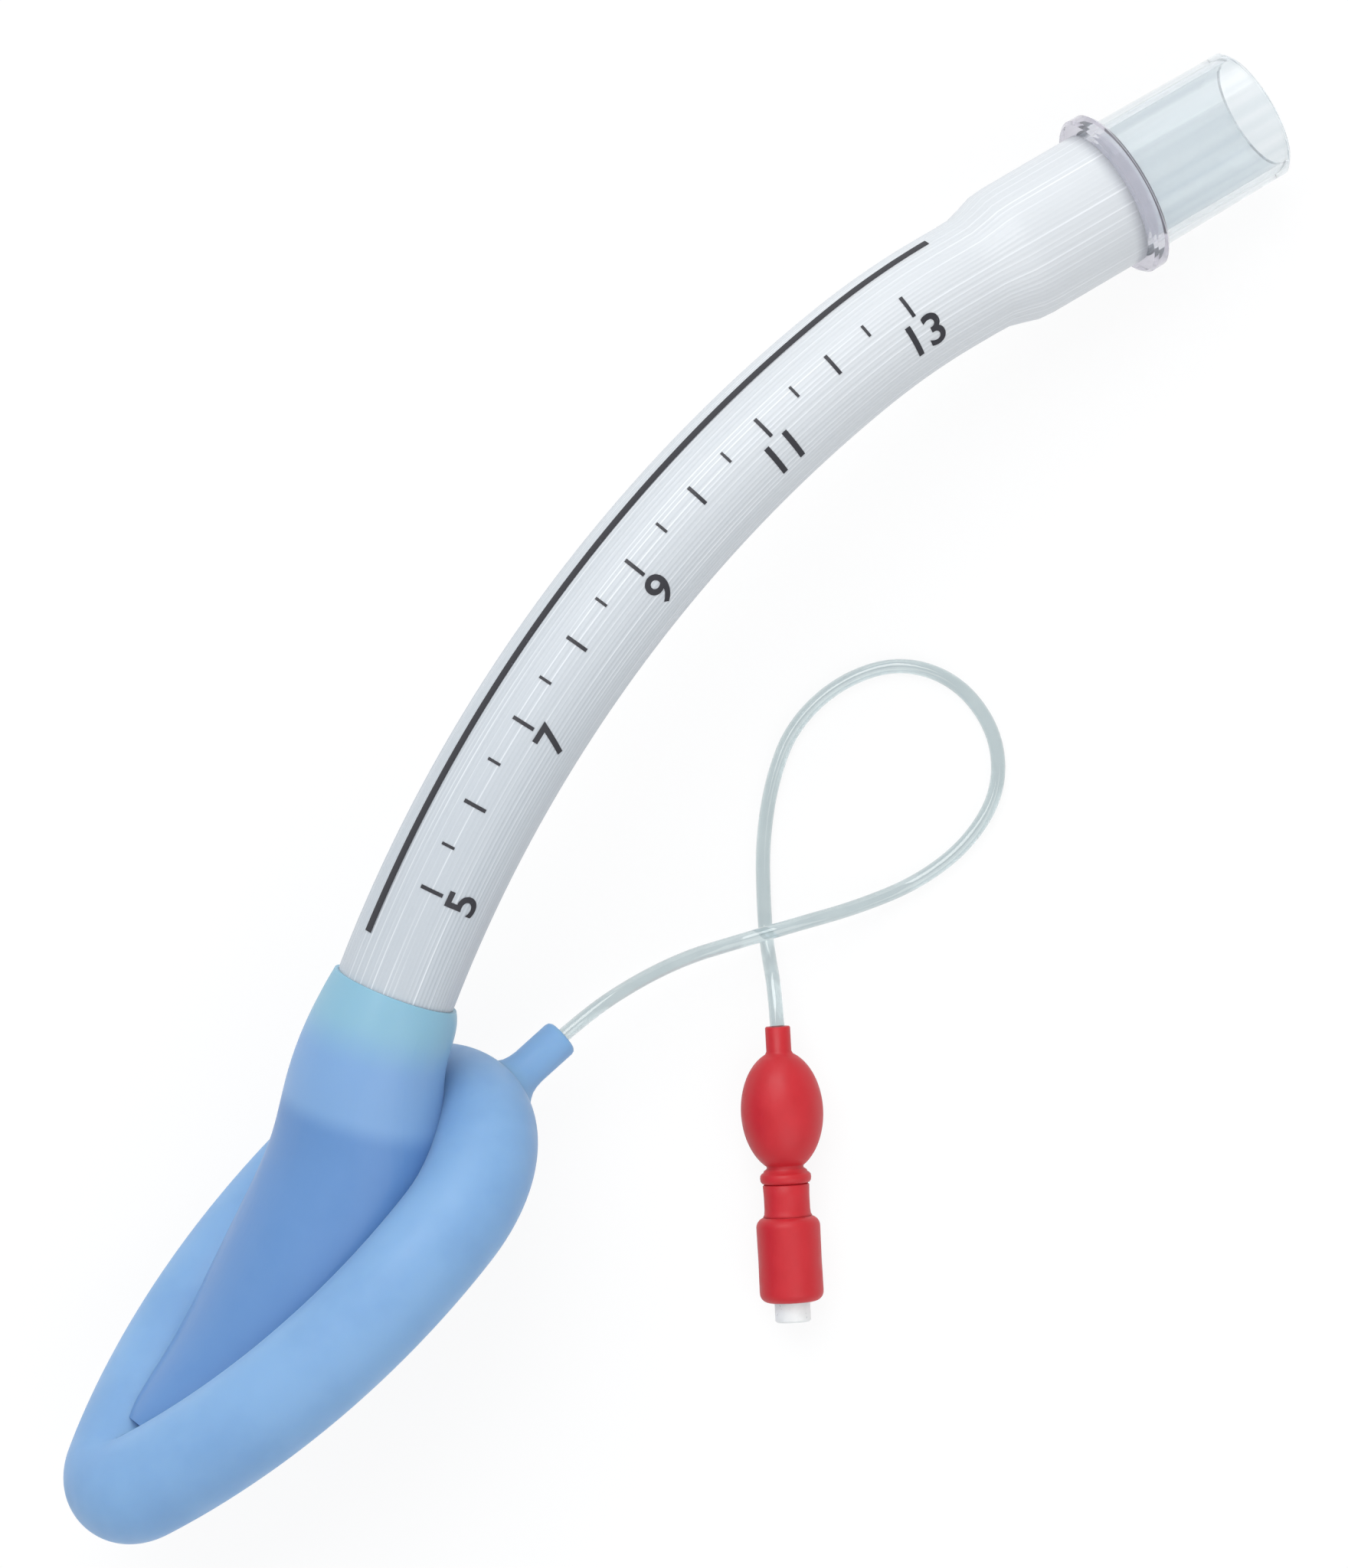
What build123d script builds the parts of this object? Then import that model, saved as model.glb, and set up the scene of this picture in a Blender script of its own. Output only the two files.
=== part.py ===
from build123d import *
from math import asin, atan2, cos, degrees, hypot, radians, sin, sqrt, tan
import os

# A laryngeal mask airway lying on its side: curved breathing tube, connector, mask, pilot line.
# The airway is drawn in its own middle plane, with x towards the connector, y towards the
# convex back of the tube and z across. It is then rolled and pitched to rest on the floor.
# Lengths are millimetres, angles degrees.

# Breathing tube
TUBE_R = 6.6
LUMEN_R = 4.4
HEEL_BEND_R = 85.0
HEEL_BEND_TURN = 12.5
MAIN_BEND_R = 139.4
MAIN_BEND_TURN = 35.0
END_BEND_R = 75.0
END_BEND_TURN = 9.5
STRAIGHT = 21.5
FLARE_WALL = 1.75
FLARE_RAMP = 4.5

# Breathing system connector
CONE_ROOT_R = 7.75
CONE_TIP_R = 7.55
CONE_LENGTH = 17.4
CONE_BORE_R = 6.35
CONE_EDGE = 0.4
CONE_LEAD = 2.5
FLANGE_R = 9.35
FLANGE_THICK = 2.0
FLANGE_EDGE = 0.7
BARB_R = 6.0
BARB_BORE_R = 4.9
BARB_LENGTH = 15.0
BARB_LEAD = 1.6
BARB_LEAD_STEP = 0.7

# Cuff ring, a teardrop of arcs round the bowl: u runs along the mask, v towards its back,
# both from the centre of the heel arc
MASK_ANGLE = -10.7
RING_R = 5.8
RING_HEEL_R = 13.7
RING_TIP_R = 3.6
RING_SIDE_R = 60.0
RING_LENGTH = 38.5
PORT_R = 2.15
PORT_END_U = 26.4
PORT_END_V = -3.3
PORT_ANGLE = -7.0
PORT_ROOT = 10.0
PORT_BEVEL = 0.5
PORT_SOCKET = 2.5

# Mask back: a collar round the tube, then a dome over the bowl, whose sections past the
# tube's mouth give u, v, tilt, half width and half height
MOUTH_U = 1.8
MOUTH_V = 7.35
MOUTH_ANGLE = 37.2
COLLAR_LIP = 0.4
COLLAR_MID = 1.2
COLLAR_FOOT = 1.8
COLLAR_LENGTH = 18.0
COLLAR_WAIST = 4.5
COLLAR_SWELL = 9.5
DOME_SECTIONS = [
    (-3.0, 2.6, 14.0, 10.7, 10.7),
    (-12.0, 1.2, 6.0, 10.5, 8.9),
    (-21.0, 0.6, 3.0, 9.1, 6.6),
    (-29.0, 0.5, 0.0, 6.8, 5.2),
    (-36.0, 0.4, 0.0, 4.0, 4.3),
]
DOME_WALL = 1.7
DOME_FLOOR = 0.6
THROAT_R = 5.4
BAR_WIDTH = 1.2
BAR_OFFSET = 2.2
BAR_DEPTH = 2.4
BAR_SET = 0.3

# Inflation line
LINE_R = 0.8

# Pilot balloon and its valve, with x along their own axis from the line's end
NECK_R = 1.375
NECK_LENGTH = 3.2
LINE_IN_NECK = 2.6
BULB_R = 4.5
BULB_HALF = 6.7
BULB_OVERLAP = 0.6
BULB_WALL = 0.7
BULB_END = 16.0
LIP_R = 2.8
LIP_LENGTH = 1.2
SPIGOT_R = 2.0
SPIGOT_LENGTH = 1.9
SLEEVE_R = 2.55
SLEEVE_LENGTH = 3.6
PASSAGE_R = 1.0
POCKET_R = 3.5
POCKET_LENGTH = 9.4
POCKET_EDGE = 1.1
POCKET_WALL = 0.8
POCKET_TOP = 1.2
BARREL_EDGE = 0.2
CHAMBER_R = 1.9
NOZZLE_R = 1.95
NOZZLE_OUT = 2.2
NOZZLE_ROOT_R = 2.15
NOZZLE_ROOT_OUT = 0.1
NOZZLE_BORE_R = 1.25
SEAT_DEPTH = 1.4
SEAT_THICK = 0.6
SEAT_HOLE_R = 0.95
SEAL_THICK = 0.4
SEAL_R = 1.5
SEAT_GAP = 0.03
DISC_R = 1.6
DISC_THICK = 0.6
STEM_R = 0.55
STEM_RECESS = 0.6
TAIL_R = 0.45
TAIL_LENGTH = 4.2
SPRING_R = 1.1
SPRING_WIRE_R = 0.14
SPRING_TURNS = 4.5
RETAINER_THICK = 0.8
RETAINER_SET = 0.3
VENT_R = 0.3
VENT_RING_R = 1.25
VENT_COUNT = 4
SLIDE_GAP = 0.06
LEG_GAP = 0.02

# How the airway lies: rolled about x, so that the back of the mask looks partly up, with the
# soft cuff pressed flat by a little where it bears on the floor
ROLL = 33.0
SIDE_REST_U = -1.0
REST_FLAT = 0.3

# Where the balloon lies, seen from above, and the line's route there from the port
PILOT_AT = (-14.7, -25.7)
PILOT_YAW = 216.1
LINE_STUB = 3.5
LINE_ROUTE = [
    (-18.9, -10.1, 10.2),
    (-13.8, -13.2, 7.9),
    (-9.9, -16.5, 6.3),
    (-4.3, -21.3, 5.6),
    (0.9, -25.9, 2.9),
    (6.9, -30.1, 0.8),
    (13.5, -32.4, 0.8),
    (20.2, -32.1, 0.8),
    (25.4, -28.2, 0.8),
    (27.8, -21.6, 0.8),
    (26.0, -15.1, 0.8),
    (20.5, -10.8, 0.8),
    (13.7, -9.2, 0.8),
    (7.4, -10.6, 0.8),
    (1.3, -13.4, 0.8),
    (-3.9, -16.9, 0.8),
    (-7.9, -19.9, 0.9),
]


def turn(x, y, angle):
    """Turn a point of the middle plane about the origin."""
    a = radians(angle)
    return (x * cos(a) - y * sin(a), x * sin(a) + y * cos(a))


def along(point, angle, distance):
    """Step from a point of the middle plane in the direction of an angle."""
    a = radians(angle)
    return (point[0] + distance * cos(a), point[1] + distance * sin(a))


def mask_point(u, v):
    """Put a point of the mask, from the heel arc's centre, in the middle plane."""
    return turn(u, v, MASK_ANGLE)


def cross_plane(point, angle):
    """A plane square to the middle plane at a point, facing along an angle."""
    a = radians(angle)
    return Plane(origin=(point[0], point[1], 0), x_dir=(0, 0, 1), z_dir=(cos(a), sin(a), 0))


def bend_centre(point, angle, radius):
    """The centre of a clockwise arc that leaves a point along an angle."""
    return along(point, angle - 90, radius)


def tube_bends():
    """Start point, start angle, radius and turn of each bend, from the mask's mouth on."""
    point = mask_point(MOUTH_U, MOUTH_V)
    angle = MASK_ANGLE + MOUTH_ANGLE
    bends = []
    for radius, sweep in (
        (HEEL_BEND_R, HEEL_BEND_TURN),
        (MAIN_BEND_R, MAIN_BEND_TURN),
        (END_BEND_R, END_BEND_TURN),
    ):
        bends.append((point, angle, radius, sweep))
        centre = bend_centre(point, angle, radius)
        angle -= sweep
        point = along(centre, angle + 90, radius)
    return bends, point, angle


BENDS, STRAIGHT_START, STRAIGHT_ANGLE = tube_bends()
FLANGE_AT = along(STRAIGHT_START, STRAIGHT_ANGLE, STRAIGHT)


def on_heel_bend(distance):
    """Point and angle on the first bend, a distance from the mouth."""
    point, angle, radius, _ = BENDS[0]
    swept = degrees(distance / radius)
    centre = bend_centre(point, angle, radius)
    return along(centre, angle - swept + 90, radius), angle - swept


def bend_solid(bend, radius):
    """A bent rod of one bend of the tube."""
    point, angle, bend_r, sweep = bend
    centre = bend_centre(point, angle, bend_r)
    section = cross_plane(point, angle) * Circle(radius)
    axis = Axis((centre[0], centre[1], 0), (0, 0, -1))
    return revolve(section, axis, sweep)


def spun(profile_points, point, angle):
    """Turn an outline of (distance, radius) pairs about an axis in the middle plane."""
    outline = Polyline(*[(x, r) for x, r in profile_points], close=True)
    solid = revolve(make_face(outline), Axis.X)
    return Pos(point[0], point[1], 0) * Rot(0, 0, angle) * solid


def connector():
    """Male cone with an even lead, flange and barb, turned about one axis from the tube side."""
    cone_end = FLANGE_THICK + CONE_LENGTH
    return spun(
        [
            (-BARB_LENGTH, BARB_BORE_R),
            (-BARB_LENGTH, BARB_R - BARB_LEAD_STEP),
            (-BARB_LENGTH + BARB_LEAD, BARB_R),
            (0, BARB_R),
            (0, FLANGE_R - FLANGE_EDGE / 2),
            (FLANGE_EDGE / 2, FLANGE_R),
            (FLANGE_THICK - FLANGE_EDGE / 2, FLANGE_R),
            (FLANGE_THICK, FLANGE_R - FLANGE_EDGE / 2),
            (FLANGE_THICK, CONE_ROOT_R),
            (cone_end - CONE_EDGE - CONE_LEAD, CONE_TIP_R),
            (cone_end - CONE_EDGE, CONE_TIP_R),
            (cone_end, CONE_TIP_R - CONE_EDGE),
            (cone_end, CONE_BORE_R),
            (FLANGE_THICK, CONE_BORE_R),
            (FLANGE_THICK - (CONE_BORE_R - BARB_BORE_R), BARB_BORE_R),
        ],
        FLANGE_AT,
        STRAIGHT_ANGLE,
    )


def airway_tube():
    """Curved tube, stretched over the connector's barb at its far end."""
    flare_r = BARB_R + FLARE_WALL
    ramp = STRAIGHT - BARB_LENGTH
    skin = spun(
        [
            (0, 0),
            (0, TUBE_R),
            (ramp - FLARE_RAMP / 2, TUBE_R),
            (ramp + FLARE_RAMP / 2, flare_r),
            (STRAIGHT, flare_r),
            (STRAIGHT, 0),
        ],
        STRAIGHT_START,
        STRAIGHT_ANGLE,
    )
    hollow = spun(
        [
            (0, 0),
            (0, LUMEN_R),
            (ramp - BARB_LEAD, LUMEN_R),
            (ramp, BARB_R - BARB_LEAD_STEP),
            (ramp + BARB_LEAD, BARB_R),
            (STRAIGHT, BARB_R),
            (STRAIGHT, 0),
        ],
        STRAIGHT_START,
        STRAIGHT_ANGLE,
    )
    for bend in BENDS:
        skin += bend_solid(bend, TUBE_R)
        hollow += bend_solid(bend, LUMEN_R)
    return skin - hollow


def ring_arc(centre, radius, start, sweep):
    """Part of the cuff ring: the side of a disc beyond the arc's axis, swept about it."""
    beyond = Pos(2 * RING_R, 0) * Rectangle(4 * RING_R, 2 * RING_R)
    disc = Pos(radius, 0) * Circle(RING_R)
    if radius < RING_R:
        disc &= beyond
    swept = revolve(disc, Axis.Y, sweep)
    return Pos(centre[0], 0, centre[1]) * Rot(0, start, 0) * swept


def cuff():
    """Teardrop ring of round section with the port for the inflation line on its heel."""
    heel_gap = RING_SIDE_R - RING_HEEL_R
    tip_gap = RING_SIDE_R - RING_TIP_R
    side_u = (tip_gap**2 - heel_gap**2 - RING_LENGTH**2) / (2 * RING_LENGTH)
    side_w = sqrt(heel_gap**2 - side_u**2)
    heel_turn = degrees(atan2(side_w, -side_u))
    tip_turn = degrees(atan2(side_w, -RING_LENGTH - side_u))
    heel = ring_arc((0, 0), RING_HEEL_R, -heel_turn, 2 * heel_turn)
    side = ring_arc((side_u, side_w), RING_SIDE_R, heel_turn, tip_turn - heel_turn)
    tip = ring_arc((-RING_LENGTH, 0), RING_TIP_R, tip_turn, 360 - 2 * tip_turn)
    ring = heel + side + mirror(side, Plane.XY) + tip
    ring = Rot(0, 0, MASK_ANGLE) * ring
    end = mask_point(PORT_END_U, PORT_END_V)
    angle = MASK_ANGLE + PORT_ANGLE
    port = spun(
        [
            (-PORT_ROOT, 0),
            (-PORT_ROOT, PORT_R),
            (-PORT_BEVEL, PORT_R),
            (0, PORT_R - PORT_BEVEL),
            (0, LINE_R),
            (-PORT_SOCKET, LINE_R),
            (-PORT_SOCKET, 0),
        ],
        end,
        angle,
    )
    return ring + port


def oval(point, angle, half_width, half_height):
    """A section of the mask back."""
    return cross_plane(point, angle) * Ellipse(half_width, half_height)


def dome_sections(wall):
    """Sections of the dome past the tube's mouth, smaller all round by a wall."""
    sections = []
    for u, v, tilt, half_width, half_height in DOME_SECTIONS:
        point = mask_point(u, v)
        sections.append(oval(point, MASK_ANGLE + tilt, half_width - wall, half_height - wall))
    return sections


def mouth_bars():
    """Two bars across the tube's mouth, which keep soft tissue out of it."""
    mouth = mask_point(MOUTH_U, MOUTH_V)
    angle = MASK_ANGLE + MOUTH_ANGLE
    centre = along(mouth, angle, -BAR_SET - BAR_DEPTH / 2)
    bar = Pos(centre[0], centre[1], 0) * Rot(0, 0, angle) * Box(BAR_DEPTH, 2 * TUBE_R, BAR_WIDTH)
    return [Pos(0, 0, side * BAR_OFFSET) * bar for side in (-1, 1)]


def mask_backplate(ring):
    """Collar, dome over the bowl and two bars across the mouth, moulded as one."""
    outer = []
    for distance, wall in (
        (COLLAR_LENGTH, COLLAR_LIP),
        (COLLAR_LENGTH - COLLAR_WAIST, COLLAR_MID),
        (COLLAR_LENGTH - COLLAR_SWELL, COLLAR_FOOT),
    ):
        point, angle = on_heel_bend(distance)
        outer.append(oval(point, angle, TUBE_R + wall, TUBE_R + wall))
    solid = loft(outer + dome_sections(0))
    mouth = oval(mask_point(MOUTH_U, MOUTH_V), MASK_ANGLE + MOUTH_ANGLE, THROAT_R, THROAT_R)
    bowl = loft([mouth] + dome_sections(DOME_WALL))
    shell = solid
    for bend in BENDS[:2]:
        shell -= bend_solid(bend, TUBE_R)
    shell -= bowl
    reach = 2 * RING_LENGTH
    below = Pos(0, DOME_FLOOR - reach / 2, 0) * Box(2 * reach, reach, reach)
    shell -= Rot(0, 0, MASK_ANGLE) * below
    shell -= ring
    for bar in mouth_bars():
        shell += bar
    return shell


def pilot_rod(start, length, radius):
    """A plain round rod on the pilot's own axis."""
    ends = (Align.CENTER, Align.CENTER, Align.MIN)
    return Pos(start, 0, 0) * Rot(0, 90, 0) * Cylinder(radius, length, align=ends)


def pilot_turned(outline):
    """Turn an outline of (distance, radius) pairs about the pilot's own axis."""
    return revolve(make_face(Polyline(*outline, close=True)), Axis.X)


BULB_AT = NECK_LENGTH - BULB_OVERLAP + BULB_HALF
LIP_END = BULB_END + LIP_LENGTH
SLEEVE_END = LIP_END + SLEEVE_LENGTH
POCKET_END = SLEEVE_END + POCKET_LENGTH
BARREL_R = POCKET_R - POCKET_WALL
BARREL_START = SLEEVE_END + POCKET_TOP
SHOULDER = POCKET_END - POCKET_WALL
NOZZLE_END = POCKET_END + NOZZLE_OUT
SEAT_IN = SHOULDER - SEAT_DEPTH
SEAL_IN = SEAT_IN - SEAT_GAP - SEAL_THICK
DISC_IN = SEAL_IN - DISC_THICK
RETAINER_IN = BARREL_START + RETAINER_SET


def strip(start, length, radius):
    """Half section of a round stretch, standing on the pilot's axis."""
    return Pos(start + length / 2, radius / 2) * Rectangle(length, radius)


def half_egg(half_length, radius):
    """Half section of the bulb."""
    above = Pos(0, radius) * Rectangle(2 * half_length, 2 * radius)
    return Pos(BULB_AT, 0) * (Ellipse(half_length, radius) & above)


def pilot_balloon():
    """Red balloon: neck for the line, egg-shaped bulb and a rolled lip at its tail."""
    bead_r = LIP_LENGTH / 2
    section = half_egg(BULB_HALF, BULB_R) & strip(0, BULB_END, BULB_R)
    section += strip(0, BULB_AT, NECK_R)
    section += strip(BULB_AT, LIP_END - bead_r - BULB_AT, SLEEVE_R)
    section += Pos(LIP_END - bead_r, LIP_R - bead_r) * Circle(bead_r)
    section -= half_egg(BULB_HALF - BULB_WALL, BULB_R - BULB_WALL)
    section -= strip(0, BULB_AT, LINE_R)
    section -= strip(BULB_AT, LIP_END - BULB_AT, SPIGOT_R)
    return revolve(section, Axis.X)


def valve_pocket():
    """Red pocket: a spigot inside the balloon's lip, a sleeve and a cup round the valve."""
    start = LIP_END - SPIGOT_LENGTH
    pocket = pilot_rod(SLEEVE_END, POCKET_LENGTH, POCKET_R)
    pocket = fillet(pocket.edges().filter_by(GeomType.CIRCLE), POCKET_EDGE)
    pocket += pilot_rod(start, SPIGOT_LENGTH, SPIGOT_R)
    pocket += pilot_rod(LIP_END, BARREL_START - LIP_END, SLEEVE_R)
    pocket -= pilot_turned(
        [
            (start, 0),
            (start, PASSAGE_R),
            (BARREL_START, PASSAGE_R),
            (BARREL_START, BARREL_R),
            (SHOULDER, BARREL_R),
            (SHOULDER, NOZZLE_ROOT_R),
            (POCKET_END, NOZZLE_ROOT_R),
            (POCKET_END, 0),
        ]
    )
    return pocket


def valve_body():
    """Clear barrel with the valve seat and the nozzle that stands out of the pocket."""
    root_end = POCKET_END + NOZZLE_ROOT_OUT
    return pilot_turned(
        [
            (BARREL_START, CHAMBER_R),
            (BARREL_START, BARREL_R),
            (SHOULDER, BARREL_R),
            (SHOULDER, NOZZLE_ROOT_R),
            (root_end, NOZZLE_ROOT_R),
            (root_end, NOZZLE_R),
            (NOZZLE_END - BARREL_EDGE, NOZZLE_R),
            (NOZZLE_END, NOZZLE_R - BARREL_EDGE),
            (NOZZLE_END, NOZZLE_BORE_R),
            (SEAT_IN + SEAT_THICK, NOZZLE_BORE_R),
            (SEAT_IN + SEAT_THICK, SEAT_HOLE_R),
            (SEAT_IN, SEAT_HOLE_R),
            (SEAT_IN, CHAMBER_R),
        ]
    )


def valve_plunger():
    """Stem towards the nozzle, disc, and a tail that guides the spring."""
    stem_end = NOZZLE_END - STEM_RECESS
    return pilot_turned(
        [
            (DISC_IN - TAIL_LENGTH, 0),
            (DISC_IN - TAIL_LENGTH, TAIL_R),
            (DISC_IN, TAIL_R),
            (DISC_IN, DISC_R),
            (SEAL_IN, DISC_R),
            (SEAL_IN, STEM_R),
            (stem_end, STEM_R),
            (stem_end, 0),
        ]
    )


def valve_seal():
    """Soft washer on the stem, between the disc and the seat."""
    return pilot_rod(SEAL_IN, SEAL_THICK, SEAL_R) - pilot_rod(SEAL_IN, SEAL_THICK, STEM_R)


def spring_retainer():
    """Vented disc at the valve's inner end, which the spring pushes against."""
    hole_r = TAIL_R + SLIDE_GAP
    disc = pilot_rod(RETAINER_IN, RETAINER_THICK, CHAMBER_R)
    disc -= pilot_rod(RETAINER_IN, RETAINER_THICK, hole_r)
    for place in PolarLocations(VENT_RING_R, VENT_COUNT):
        y, z = place.position.X, place.position.Y
        disc -= Pos(0, y, z) * pilot_rod(RETAINER_IN, RETAINER_THICK, VENT_R)
    return disc


def valve_spring():
    """Light coil spring from the retainer to the disc."""
    low = RETAINER_IN + RETAINER_THICK + SPRING_WIRE_R + LEG_GAP
    high = DISC_IN - SPRING_WIRE_R - LEG_GAP
    pitch = (high - low) / SPRING_TURNS
    coil = Helix(pitch, high - low, SPRING_R)
    wire = Plane(origin=coil @ 0, z_dir=coil % 0) * Circle(SPRING_WIRE_R)
    return Pos(low, 0, 0) * Rot(0, 90, 0) * sweep(wire, path=coil)


def lying():
    """The place that sets the cuff's side and the connector's end on the floor."""
    rolled = Rot(ROLL, 0, 0)
    tip = along(FLANGE_AT, STRAIGHT_ANGLE, FLANGE_THICK + CONE_LENGTH)
    cone_low = (rolled * AIRWAY["connector"]).bounding_box().min.Z
    cuff_low = (rolled * AIRWAY["inflatable_cuff"]).bounding_box().min.Z + REST_FLAT
    span = tip[0] - mask_point(SIDE_REST_U, 0)[0]
    pitch = degrees(atan2(cone_low - cuff_low, span))
    place = Rot(0, pitch, 0) * rolled
    box = Compound([place * solid for solid in AIRWAY.values()]).bounding_box()
    return Pos(-box.center().X, -box.center().Y, -box.min.Z - REST_FLAT) * place


def pressed(solid):
    """The soft cuff, flat where it bears on the floor."""
    reach = 4 * RING_LENGTH
    return solid - Pos(0, 0, -reach / 2) * Box(reach, reach, reach)


def pilot_place():
    """Where the pilot lies: on the widest part of its bulb and the pocket's far edge."""
    drop = asin((BULB_R - POCKET_R) / (POCKET_END - POCKET_EDGE - BULB_AT))
    height = hypot(BULB_R * cos(drop), BULB_HALF * sin(drop)) + BULB_AT * sin(drop)
    return Pos(PILOT_AT[0], PILOT_AT[1], height) * Rot(0, 0, PILOT_YAW) * Rot(0, degrees(drop), 0)


def route_points(airway_place, pilot_at):
    """The line's route, from the port's socket over the floor to the balloon's neck."""
    end = mask_point(PORT_END_U, PORT_END_V)
    angle = MASK_ANGLE + PORT_ANGLE
    points = []
    for distance in (-PORT_SOCKET, LINE_STUB):
        x, y = along(end, angle, distance)
        points.append((airway_place * Pos(x, y, 0)).position)
    points += [Vector(*point) for point in LINE_ROUTE]
    for distance in (-LINE_STUB, LINE_IN_NECK):
        points.append((pilot_at * Pos(distance, 0, 0)).position)
    return points


def corner_radii(points):
    """The largest even arc at each corner of the route."""
    radii = []
    for before, corner, after in zip(points, points[1:], points[2:]):
        bend = (corner - before).get_angle(after - corner)
        shorter = min((corner - before).length, (after - corner).length)
        radii.append(0.45 * shorter / tan(radians(bend / 2)))
    return radii


def inflation_line(points):
    """The line's tube, straight runs joined by arcs."""
    radii = corner_radii(points)
    path = FilletPolyline(*points, radius=radii)
    section = Plane(origin=path @ 0, z_dir=path % 0) * Circle(LINE_R)
    tube = sweep(section, path=path)
    print("line corner radii", [round(r, 1) for r in radii])
    print("line length", round(path.length, 1), "volume over section", round(tube.volume / section.area, 1))
    return tube


AIRWAY = {}
AIRWAY["connector"] = connector()
AIRWAY["airway_tube"] = airway_tube()
AIRWAY["inflatable_cuff"] = cuff()
AIRWAY["mask_backplate"] = mask_backplate(AIRWAY["inflatable_cuff"])
AIRWAY_PLACE = lying()
PILOT_PLACE = pilot_place()
PILOT = {
    "pilot_balloon": pilot_balloon(),
    "valve_pocket": valve_pocket(),
    "valve_body": valve_body(),
    "valve_plunger": valve_plunger(),
    "valve_seal": valve_seal(),
    "valve_spring": valve_spring(),
    "spring_retainer": spring_retainer(),
}
PARTS = {name: AIRWAY_PLACE * solid for name, solid in AIRWAY.items()}
PARTS["inflatable_cuff"] = pressed(PARTS["inflatable_cuff"])
PARTS.update({name: PILOT_PLACE * solid for name, solid in PILOT.items()})
PARTS["inflation_line"] = inflation_line(route_points(AIRWAY_PLACE, PILOT_PLACE))

os.makedirs("parts", exist_ok=True)
for name, solid in PARTS.items():
    export_step(solid, f"parts/{name}.step")
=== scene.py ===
from math import asin, cos, degrees, pi, radians, sin, sqrt

import bmesh
import bpy
from mathutils import Matrix, Vector


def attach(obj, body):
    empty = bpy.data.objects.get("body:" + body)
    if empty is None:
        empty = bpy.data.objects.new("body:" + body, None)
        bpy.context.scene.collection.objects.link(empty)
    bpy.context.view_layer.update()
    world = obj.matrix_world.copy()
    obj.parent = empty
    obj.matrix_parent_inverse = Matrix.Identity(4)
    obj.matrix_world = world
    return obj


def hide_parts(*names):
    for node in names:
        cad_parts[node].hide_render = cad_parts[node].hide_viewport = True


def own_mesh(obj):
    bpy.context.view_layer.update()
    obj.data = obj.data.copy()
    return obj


# Looks of a laryngeal mask airway lying on its side. Lengths are millimetres in the named
# values and metres in the meshes. The same middle plane as the solids carries the shapes.
MM = 0.001

# How the airway lies
LIE_AT = (-53.5323, 0.25916, 17.0748)
LIE_PITCH = 0.05144
LIE_ROLL = 33.0

# Breathing tube, from the mask's mouth to the connector's flange
MASK_ANGLE = -10.7
MOUTH = (1.8, 7.35)
MOUTH_ANGLE = 37.2
BENDS = [(85.0, 12.5), (139.4, 35.0), (75.0, 9.5)]
BEND_LENGTH = 116.13
STRAIGHT = 21.5
TUBE_R = 6.6
LUMEN_R = 4.4
BARB_R = 6.0
BARB_LENGTH = 15.0
BARB_LEAD = 1.6
FLARE_WALL = 1.75
FLARE_RAMP = 5.2
LUMEN_SLACK = 0.03
TUBE_STEP = 1.7
COLLAR_LENGTH = 18.0
TUCK = 0.06
RIBS = 84
RIB_COLUMNS = 4
RIB_DEPTH = 0.06
RIB_FADE = 0.6
INNER_RIB_DEPTH = 0.12
INNER_RIB_FADE = 0.5

# Printing on the tube: a black line near its back and a plain graduation on its side. A mark is
# its length round the tube and its width, and a number counts the two centimetres before the mouth.
LINE_SPAN = (23.2, 116.3)
LINE_ANGLES = (8.0, 2.0)
LINE_WIDTH = 1.05
MARK_SPAN = (30, 110)
MARK_ANGLE = 42.0
MARK_STEP = 5
LONG_MARK = (2.6, 0.42)
SHORT_MARK = (1.5, 0.32)
NUMBER_STEP = 20
NUMBER_BASE = 2
NUMBER_SIZE = 5.2
NUMBER_GAP = 5.2
NUMBER_BOLD = 0.08
NUMBER_EDGE = 0.45
NUMBER_CUTS = 6
PRINT_STEP = 0.8
PRINT_COLUMN = 0.25
INK_PROUD = 0.03

# Cuff ring and its port, from the centre of the heel arc
RING_R = 5.8
RING_HEEL_R = 13.7
RING_TIP_R = 3.6
RING_SIDE_R = 60.0
RING_LENGTH = 38.5
RING_STEPS = (36, 48, 20)
RING_COLUMNS = 96
RING_PROUD = 0.08
PORT_END = (26.4, -3.3)
PORT_ANGLE = -7.0
PORT_COLUMNS = 64
PORT_OUTLINE = [
    (-9.5, 0.81),
    (-9.5, 3.6),
    (-8.0, 3.4),
    (-7.2, 2.8),
    (-6.6, 2.45),
    (-5.9, 2.25),
    (-5.0, 2.15),
    (-0.6, 2.15),
    (-0.25, 2.05),
    (-0.05, 1.8),
    (0, 1.5),
    (-0.06, 1.1),
    (-0.3, 0.81),
]

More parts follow.
